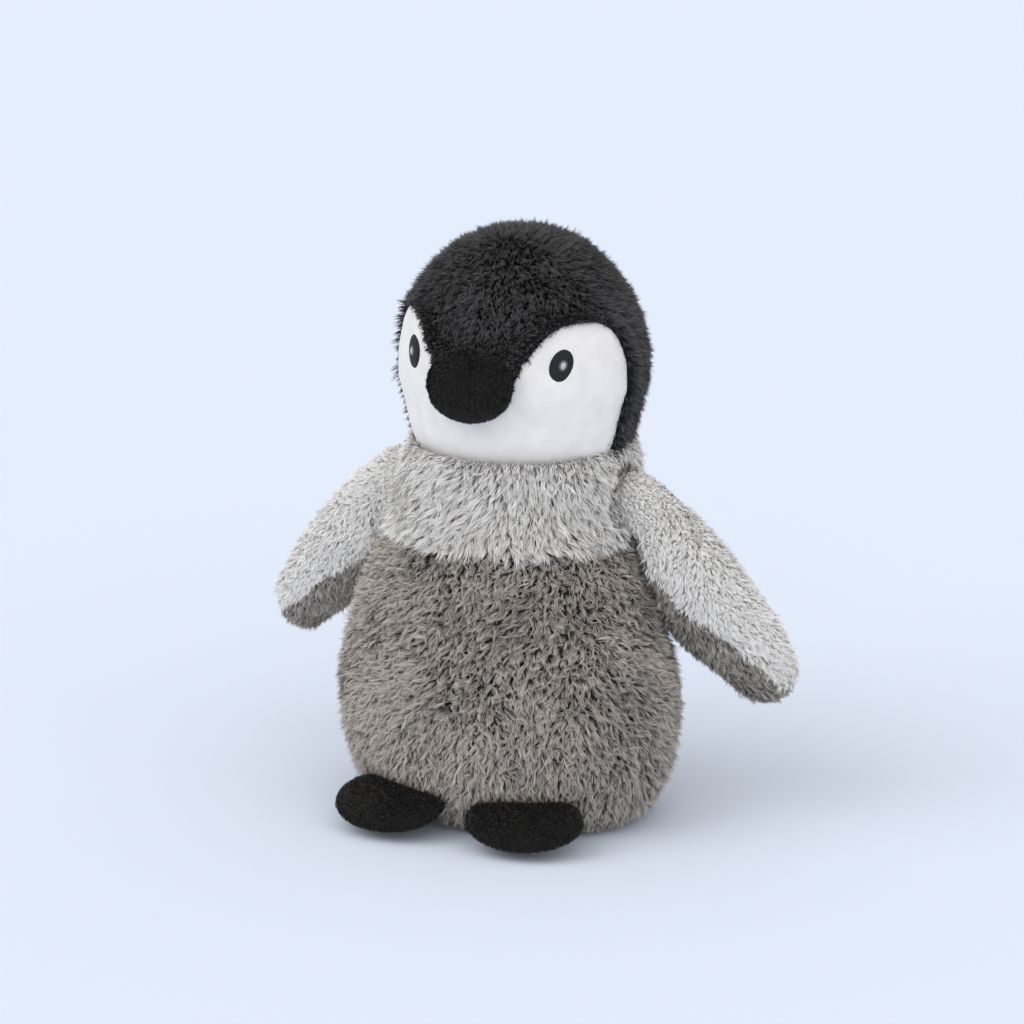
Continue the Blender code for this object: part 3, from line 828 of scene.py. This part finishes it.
class PENGUIN_OT_hood(bpy.types.Operator):
    """Sew the black hood and grow its pile"""

    bl_idname = "penguin.hood"
    bl_label = "Hood"

    def execute(self, context):
        size, c = sizes(), colours()
        pivot = np.array(NECK_PIVOT)
        cover = joined_copy("face_cover", ["face_left", "face_right"])
        remesh(cover, 1.8 * MM)
        face = places(cover.data)
        bpy.data.objects.remove(cover)
        form = joined_copy("hood_form", ["head_cap_left", "head_cap_right"])
        remesh(form, 2 * MM)
        relax(form, 3)
        points, normals = places(form.data), vertex_normals(form.data)
        outward = unit(points - pivot)
        _, room = nearest(points, face)
        sink = np.clip(room - 2 * MM, HOOD_EDGE_DEPTH, HOOD_DEPTH)
        sink = sink * np.clip((normals * outward).sum(1) * 1.6 - 0.3, 0, 1)
        put_places(form.data, points - outward * sink[:, None])

        def outer(centres, facing):
            return (facing * unit(centres - pivot)).sum(1) > 0.3

        roots, facing = sow(form.data, HOOD_STRANDS, 21, outer)
        _, gap = nearest(roots, face)
        _, to_beak = nearest(roots, places(NODES["beak_upper"].data))
        upright = 0.6 * np.exp(-gap / 0.006)
        behind = roots[:, 1:2] > pivot[1] - 0.02
        groom = down(roots) + np.array([0, 0.35, 0]) * behind
        long = size.cap_pile * (1 + 0.1 * wave(roots, 0.02, 41))
        long = long * np.where(behind[:, 0], 1, np.clip(0.35 + gap / 0.016, 0.35, 1))
        long = long * np.clip(0.5 + to_beak / 0.02, 0.5, 1)
        for number, (word, side) in enumerate(SIDES):
            name = "head_cap_" + word
            half = roots[:, 0] * side > 0
            spots, normals = roots[half], facing[half]
            look = {
                "seed": 200 + number,
                "lean": 0.75,
                "swirl": 0.5,
                "curl": 0.35,
                "per_tuft": 7,
                "clump": 0.5,
                "width": size.strand * 0.95,
                "spread": 0.0006,
            }
            straight = upright[half]
            pile = grow_pile(name + "_pile", spots, normals, groom[half], long[half], look, straight)
            finish_piece(pile, black_pile(), "head")
            skin = duplicate(form, name + "_plush")
            cut_off(skin, (0, 0, 0), (-side, 0, 0))
            cloth = backing("black_backing", c.black_root, c.black_tip, 0.1)
            hidden = [name, "head_stuffing"] if side > 0 else [name]
            finish_piece(skin, cloth, "head", hidden)
        bpy.data.objects.remove(form)
        return {"FINISHED"}


def face_material():
    """White short-napped plush."""
    c = colours()
    shaded = mixed(c.face, (0.5, 0.5, 0.52), 0.25)
    return cloth_material("white_nap", c.face, shaded, 1500.0, 0.35, 0.3)


class PENGUIN_OT_face(bpy.types.Operator):
    """Sew the white face panels"""

    bl_idname = "penguin.face"
    bl_label = "Face"

    def execute(self, context):
        form = joined_copy("face_form", ["face_left", "face_right"])
        remesh(form, 1.6 * MM)
        relax(form, 8)
        points, normals = places(form.data), vertex_normals(form.data)
        outward = unit(points - np.array(NECK_PIVOT))
        depth = np.full(len(points), -sizes().nap)
        for word, _ in SIDES:
            low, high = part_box("eye_" + word)
            reach = np.linalg.norm(points - np.array((low + high) / 2), axis=1)
            depth += sizes().dimple * np.exp(-((reach / 0.008) ** 2))
        shrink(form, depth * np.clip((normals * outward).sum(1) * 2 - 0.4, 0, 1))
        for word, side in SIDES:
            skin = duplicate(form, f"face_{word}_plush")
            cut_off(skin, (0, 0, 0), (-side, 0, 0))
            finish_piece(skin, face_material(), "head", ["face_" + word])
        bpy.data.objects.remove(form)
        return {"FINISHED"}


def velour_material():
    """Black velour of the beak and feet."""
    c = colours()
    rubbed = mixed(c.velour, (0.03, 0.028, 0.027), 0.5)
    return cloth_material("black_velour_cloth", rubbed, c.velour, 1300.0, 0.9, 0.05)


def nap(skin, name, body, count, seed):
    """Short fuzz all over a velour piece, with a painted highlight: paler where it faces up."""
    roots, facing = sow(skin.data, count, seed)
    # Painted highlight: the nap's tone is paler where it faces up.
    look = {
        "seed": seed,
        "tone": 0.55 * np.clip(facing[:, 2], 0, 1) ** 2 - 0.1,
        "lean": 0.7,
        "swirl": 1.5,
        "curl": 0.6,
        "per_tuft": 5,
        "clump": 0.3,
        "spread": 0.0003,
        "width": 0.36 * MM,
    }
    fuzz = grow_pile(name, roots, facing, down(roots), np.full(count, VELOUR_NAP), look)
    finish_piece(fuzz, velour_nap(), body)


class PENGUIN_OT_beak(bpy.types.Operator):
    """Make the padded beak"""

    bl_idname = "penguin.beak"
    bl_label = "Beak"

    def execute(self, context):
        form = joined_copy("beak_form", ["beak_upper", "beak_lower", "beak_stuffing"])
        remesh(form, 1.5 * MM)
        relax(form, 6)
        points = places(form.data)
        stuff(form, 3.0, 1.5 * MM, pinned=points[:, 1] > NECK_PIVOT.y - 0.06)
        points = places(form.data)
        groove = np.exp(-(((points[:, 2] - MOUTH_Z) / 0.0016) ** 2))
        shrink(form, 0.6 * MM + 0.5 * MM * groove)
        for name, way in (("beak_upper", -1), ("beak_lower", 1)):
            skin = duplicate(form, name + "_velour")
            cut_off(skin, (0, 0, MOUTH_Z), (0, 0, way))
            hidden = [name, "beak_stuffing"] if way < 0 else [name]
            finish_piece(skin, velour_material(), "head", hidden)
            nap(skin, name + "_nap", "head", BEAK_STRANDS, 500 + way)
        bpy.data.objects.remove(form)
        return {"FINISHED"}


class PENGUIN_OT_eyes(bpy.types.Operator):
    """Embroider the eyes"""

    bl_idname = "penguin.eyes"
    bl_label = "Eyes"

    def execute(self, context):
        c = colours()
        for word, side in SIDES:
            points = places(bpy.data.objects[f"face_{word}_plush"].data)
            low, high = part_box("eye_" + word)
            middle = (low + high) / 2
            closest, _ = nearest([middle], points)
            out = Vector((middle - NECK_PIVOT).xy.normalized().to_3d())
            out = (out + Vector((0, 0, 0.12))).normalized()
            across = Vector((0, 0, 1)).cross(out).normalized() * side
            up = across.cross(out).normalized()
            up = up if up.z > 0 else -up
            centre = Vector(points[closest[0]]) + out * 0.4 * MM + across * side * 1.6 * MM
            parts = (
                ("eye_" + word, "thread", c.thread, (6.9, 9.6, 1.5), 0.0, 40),
                ("eye_rim_" + word, "rim_thread", c.rim_thread, (3.4, 4.4, 2.0), 0.3, 20),
                ("eye_glint_" + word, "pale_thread", c.pale_thread, (2.1, 2.9, 2.45), 0.3, 14),
            )
            for name, label, colour, size, shift, ribs in parts:
                place = centre + (across + up) * shift * MM
                half_size = [value * MM for value in size]
                obj = stitched_oval(name + "_stitches", place, (across, up, out), half_size, ribs)
                hidden = [] if "rim" in name else [name]
                finish_piece(obj, thread_material(label, colour), "head", hidden)
        return {"FINISHED"}


def thread_group():
    """Fine fibres along a thread: a colour, and a height for the bump."""
    found = bpy.data.node_groups.get("Thread fibres")
    if found:
        return found
    colour = "NodeSocketColor"
    group, ins, outs = new_group(
        "Thread fibres",
        [("Place", "NodeSocketVector", None), ("Dark", colour, None), ("Pale", colour, None)],
        [("Colour", colour), ("Height", "NodeSocketFloat")],
    )
    fibres = node(
        group,
        "ShaderNodeTexNoise",
        {"Vector": ins.outputs["Place"], "Scale": 2500.0, "Detail": 2.0},
    )
    shade = node(
        group,
        "ShaderNodeMix",
        {"Factor": fibres.outputs["Fac"], 6: ins.outputs["Dark"], 7: ins.outputs["Pale"]},
        data_type="RGBA",
    )
    group.links.new(shade.outputs[2], outs.inputs["Colour"])
    group.links.new(fibres.outputs["Fac"], outs.inputs["Height"])
    return group


def thread_material(name, colour):
    """Satin-stitched thread."""
    found = bpy.data.materials.get(name)
    if found:
        return found
    dark = mixed(colour, (0, 0, 0), 0.3)
    made, shader, _ = bumped_material(name, thread_group(), dark, colour, 0.3, 0.0002)
    shader.inputs["Roughness"].default_value = 0.5
    shader.inputs["Specular IOR Level"].default_value = 0.25
    return made


def stitched_oval(name, centre, axes, size, ribs):
    """A domed oval of satin stitches that run across it, its top leaning outwards."""
    across, up, out = axes
    turn = Matrix.Rotation(-EYE_LEAN if across.x > 0 else EYE_LEAN, 3, out)
    across, up = turn @ across, turn @ up
    deselect()
    bpy.ops.mesh.primitive_uv_sphere_add(segments=64, ring_count=40, radius=1.0)
    obj = bpy.context.object
    obj.name = obj.data.name = name
    points = places(obj.data)
    stitch = 0.07 * np.abs(np.sin(points[:, 1] * ribs * math.pi / 2))
    rise = np.where(points[:, 2] > 0, points[:, 2] * (0.8 + stitch * 2.5), points[:, 2] * 0.9)
    grid = np.array([across, up, out])
    local = np.stack([points[:, 0] * size[0], points[:, 1] * size[1], rise * size[2]], axis=1)
    put_places(obj.data, local @ grid + np.array(centre))
    shape = bmesh.new()
    shape.from_mesh(obj.data)
    bmesh.ops.recalc_face_normals(shape, faces=shape.faces[:])
    shape.to_mesh(obj.data)
    shape.free()
    return obj


class PENGUIN_OT_flippers(bpy.types.Operator):
    """Sew both flippers and grow their pile"""

    bl_idname = "penguin.flippers"
    bl_label = "Flippers"

    def execute(self, context):
        size, c = sizes(), colours()
        for number, (word, side) in enumerate(SIDES):
            body = "flipper_" + word
            joint = JOINTS["flipper_raise_" + word]
            root = np.array(joint["pos_m"])
            top_name, under_name = "flipper_top_" + word, "flipper_under_" + word
            form = joined_copy(body + "_form", [top_name, under_name, "flipper_stuffing_" + word])
            remesh(form, 3 * MM)
            relax(form, 3)
            points = places(form.data)
            reach = np.linalg.norm(points - root, axis=1)
            stuff(form, 3.0, 3 * MM, pinned=reach < 0.03)
            points = places(form.data)
            reach = np.linalg.norm(points - root, axis=1)
            lumps = 1.0 * MM * wave(points, 0.022, 61 + number)
            shrink(form, FLIPPER_DEPTH + lumps)
            relax(form, 2)
            low = places(NODES[under_name].data)
            high = places(NODES[top_name].data)
            tip = points[np.argmax(reach)]
            along = (tip - root) / np.linalg.norm(tip - root)
            through = np.array(Vector(joint["axis"]).normalized())
            seam_point, seam_normal = seam_plane(low, high, through)

            def shown(centres, facing):
                beside = (centres - body_axis(centres))[:, :2]
                return np.linalg.norm(beside, axis=1) > SHOULDER_RADIUS

            roots, facing = sow(form.data, FLIPPER_STRANDS, 71 + number, shown)
            lift = (roots - seam_point) @ seam_normal + 1.6 * MM * wave(roots, 0.01, 81)
            above = lift > (LEFT_WRAP if side > 0 else 0.0)
            for name, inside, light in ((top_name, above, True), (under_name, ~above, False)):
                spots, normals = roots[inside], facing[inside]
                groom = np.tile(along * 1.2, (len(spots), 1)) + down(spots) * 0.7
                long = size.flipper_pile * (1 + 0.1 * wave(spots, 0.02, 91 + number))
                far = np.linalg.norm(spots - root, axis=1)
                long = long * np.clip(0.55 + (far - 0.015) / 0.03, 0.55, 1)
                # The under panel's pile is toned darker than the body's grey pile: painted shade
                # under the flipper.
                look = {
                    "seed": 300 + number * 10 + light,
                    "tone": 0.0 if light else -0.24,
                    "lean": 0.85,
                    "swirl": 0.9,
                    "curl": 0.5,
                    "per_tuft": 8,
                    "clump": 0.45,
                    "spread": 0.0006,
                    "width": size.strand,
                }
                pile = grow_pile(name + "_pile", spots, normals, groom, long, look)
                slot = "light_grey_plush" if light else "dark_grey_plush"
                finish_piece(pile, flipper_pile() if light else dark_pile(), body)
                skin = duplicate(form, name + "_plush")
                cut_off(skin, seam_point, seam_normal * (-1 if light else 1))
                if light:
                    cloth = backing("flipper_backing", c.flipper_root, c.flipper_tip, 0.3)
                else:
                    cloth = backing(slot + "_backing", c.body_root, c.body_tip, 0.1)
                hidden = [name, "flipper_stuffing_" + word] if light else [name]
                finish_piece(skin, cloth, body, hidden)
            bpy.data.objects.remove(form)
        return {"FINISHED"}


def seam_plane(low, high, through):
    """The plane between two sewn panels: a point on it and its upward normal."""
    _, gap = nearest(low, high)
    edge = low[gap < 0.0007]
    middle = edge.mean(0)
    spread = edge - middle
    spread = spread - np.outer(spread @ through, through)
    _, _, rows = np.linalg.svd(spread, full_matrices=False)
    normal = np.cross(rows[0], through)
    normal = normal / np.linalg.norm(normal)
    return middle, normal if normal[2] > 0 else -normal


class PENGUIN_OT_feet(bpy.types.Operator):
    """Make the padded feet"""

    bl_idname = "penguin.feet"
    bl_label = "Feet"

    def execute(self, context):
        for word, _ in SIDES:
            upper, sole = "foot_upper_" + word, "foot_sole_" + word
            form = joined_copy("foot_form_" + word, [upper, sole, "foot_stuffing_" + word])
            remesh(form, 1.8 * MM)
            relax(form, 5)
            points = places(form.data)
            stuff(form, 2.5, 1.5 * MM, pinned=points[:, 1] > points[:, 1].max() - 0.004)
            low, high = places(NODES[sole].data), places(NODES[upper].data)
            seam_point, seam_normal = seam_plane(low, high, np.array([1.0, 0, 0]))
            points = places(form.data)
            height = (points - seam_point) @ seam_normal
            groove = np.exp(-((height / 0.0013) ** 2))
            shrink(form, 0.6 * MM * groove + 0.3 * MM)
            for name, way in ((upper, -1), (sole, 1)):
                skin = duplicate(form, name + "_velour")
                cut_off(skin, seam_point, seam_normal * way)
                hidden = [name, "foot_stuffing_" + word] if way < 0 else [name]
                finish_piece(skin, velour_material(), "foot_" + word, hidden)
                nap(skin, name + "_nap", "foot_" + word, FOOT_STRANDS, 520 + way)
            bpy.data.objects.remove(form)
        return {"FINISHED"}


class PENGUIN_OT_inside(bpy.types.Operator):
    """Give the base, the fillings and the grain bag their materials"""

    bl_idname = "penguin.inside"
    bl_label = "Base and fillings"

    def execute(self, context):
        c = colours()
        fibre = cloth_material("fibre", (0.82, 0.82, 0.8), (0.6, 0.6, 0.58), 260.0, 1.0, 0.3)
        cotton = cloth_material("cotton", (0.7, 0.66, 0.58), (0.55, 0.5, 0.43), 1200.0, 0.5, 0.1)
        grain = cloth_material("grain", (0.52, 0.39, 0.2), (0.3, 0.2, 0.1), 260.0, 1.0, 0.0, 0.6)
        base = backing("base_cloth", c.body_root, c.body_tip, 0.3)
        for name, obj in NODES.items():
            if name == "base_panel":
                new = base
            elif "stuffing" in name:
                new = fibre
            elif name == "grain_filling":
                new = grain
            elif name.startswith("grain_bag"):
                new = cotton
            else:
                continue
            for slot in obj.material_slots:
                slot.material = new
        return {"FINISHED"}


def soft_light(name, place, spread, energy, colour):
    """A soft even light from a direction, as from a large far softbox."""
    lamp = bpy.data.lights.new(name, "SUN")
    lamp.angle = math.radians(spread)
    lamp.energy = energy
    lamp.color = colour
    obj = bpy.data.objects.new(name, lamp)
    obj.location = place
    obj.rotation_euler = (-Vector(place)).to_track_quat("-Z", "Y").to_euler()
    bpy.context.scene.collection.objects.link(obj)


class PENGUIN_OT_studio(bpy.types.Operator):
    """Set up the floor, the soft light and the camera"""

    bl_idname = "penguin.studio"
    bl_label = "Studio"

    def execute(self, context):
        c = colours()
        scene = context.scene
        deselect()
        bpy.ops.mesh.primitive_plane_add(size=40.0, location=(0, 0, -0.0006))
        floor = context.object
        floor.name = "floor"
        bpy.ops.object.transform_apply(location=True)
        made, tree, shader = base_material("studio_floor")
        shader.inputs["Base Color"].default_value = (*c.floor, 1)
        shader.inputs["Roughness"].default_value = 1.0
        shader.inputs["Specular IOR Level"].default_value = 0.0
        floor.data.materials.append(made)
        world = bpy.data.worlds.new("studio")
        world.use_nodes = True
        light = world.node_tree.nodes["Background"]
        light.inputs["Color"].default_value = (1.0, 1.0, 1.0, 1)
        light.inputs["Strength"].default_value = WORLD_STRENGTH
        scene.world = world
        soft_light("key", (-1.6, -1.7, 2.2), 50, 0.85, (1.0, 0.99, 0.98))
        soft_light("fill", (1.7, -1.6, 1.5), 80, 0.75, (1.0, 0.99, 0.98))
        camera = bpy.data.cameras.new("camera")
        camera.lens, camera.sensor_width = CAMERA_LENS, 36.0
        obj = bpy.data.objects.new("camera", camera)
        turn, rise = math.radians(CAMERA_TURN), math.radians(CAMERA_RISE)
        out = Vector((math.sin(turn), -math.cos(turn), math.tan(rise))).normalized()
        target = Vector((math.cos(turn), math.sin(turn), 0)) * CAMERA_ASIDE
        target.z = CAMERA_HEIGHT
        obj.location = target + out * CAMERA_FAR
        obj.rotation_euler = (-out).to_track_quat("-Z", "Y").to_euler()
        scene.collection.objects.link(obj)
        scene.camera = obj
        scene.view_settings.view_transform = "Standard"
        return {"FINISHED"}


class PENGUIN_PT_panel(bpy.types.Panel):
    """Lists the penguin's sizes, colours and pieces"""

    bl_idname = "PENGUIN_PT_panel"
    bl_label = "Plush penguin"
    bl_space_type = "VIEW_3D"
    bl_region_type = "UI"
    bl_category = "Penguin"

    def draw(self, context):
        for group in (context.scene.penguin_sizes, context.scene.penguin_colours):
            box = self.layout.box()
            for key in group.__annotations__:
                box.prop(group, key)
        for operator in OPERATORS:
            self.layout.operator(operator.bl_idname)


OPERATORS = (
    PENGUIN_OT_torso,
    PENGUIN_OT_hood,
    PENGUIN_OT_face,
    PENGUIN_OT_beak,
    PENGUIN_OT_eyes,
    PENGUIN_OT_flippers,
    PENGUIN_OT_feet,
    PENGUIN_OT_inside,
    PENGUIN_OT_studio,
)
CLASSES = (PenguinSizes, PenguinColours, *OPERATORS, PENGUIN_PT_panel)


def register():
    """Add the sizes, the colours, the operators and the panel."""
    for cls in CLASSES:
        bpy.utils.register_class(cls)
    bpy.types.Scene.penguin_sizes = bpy.props.PointerProperty(type=PenguinSizes)
    bpy.types.Scene.penguin_colours = bpy.props.PointerProperty(type=PenguinColours)


def unregister():
    """Take them away again."""
    del bpy.types.Scene.penguin_sizes
    del bpy.types.Scene.penguin_colours
    for cls in reversed(CLASSES):
        bpy.utils.unregister_class(cls)


def main():
    """Make every piece in order."""
    register()
    deselect()
    bpy.ops.penguin.torso()
    bpy.ops.penguin.hood()
    bpy.ops.penguin.face()
    bpy.ops.penguin.beak()
    bpy.ops.penguin.eyes()
    bpy.ops.penguin.flippers()
    bpy.ops.penguin.feet()
    bpy.ops.penguin.inside()
    bpy.ops.penguin.studio()


if __name__ == "__main__":
    main()
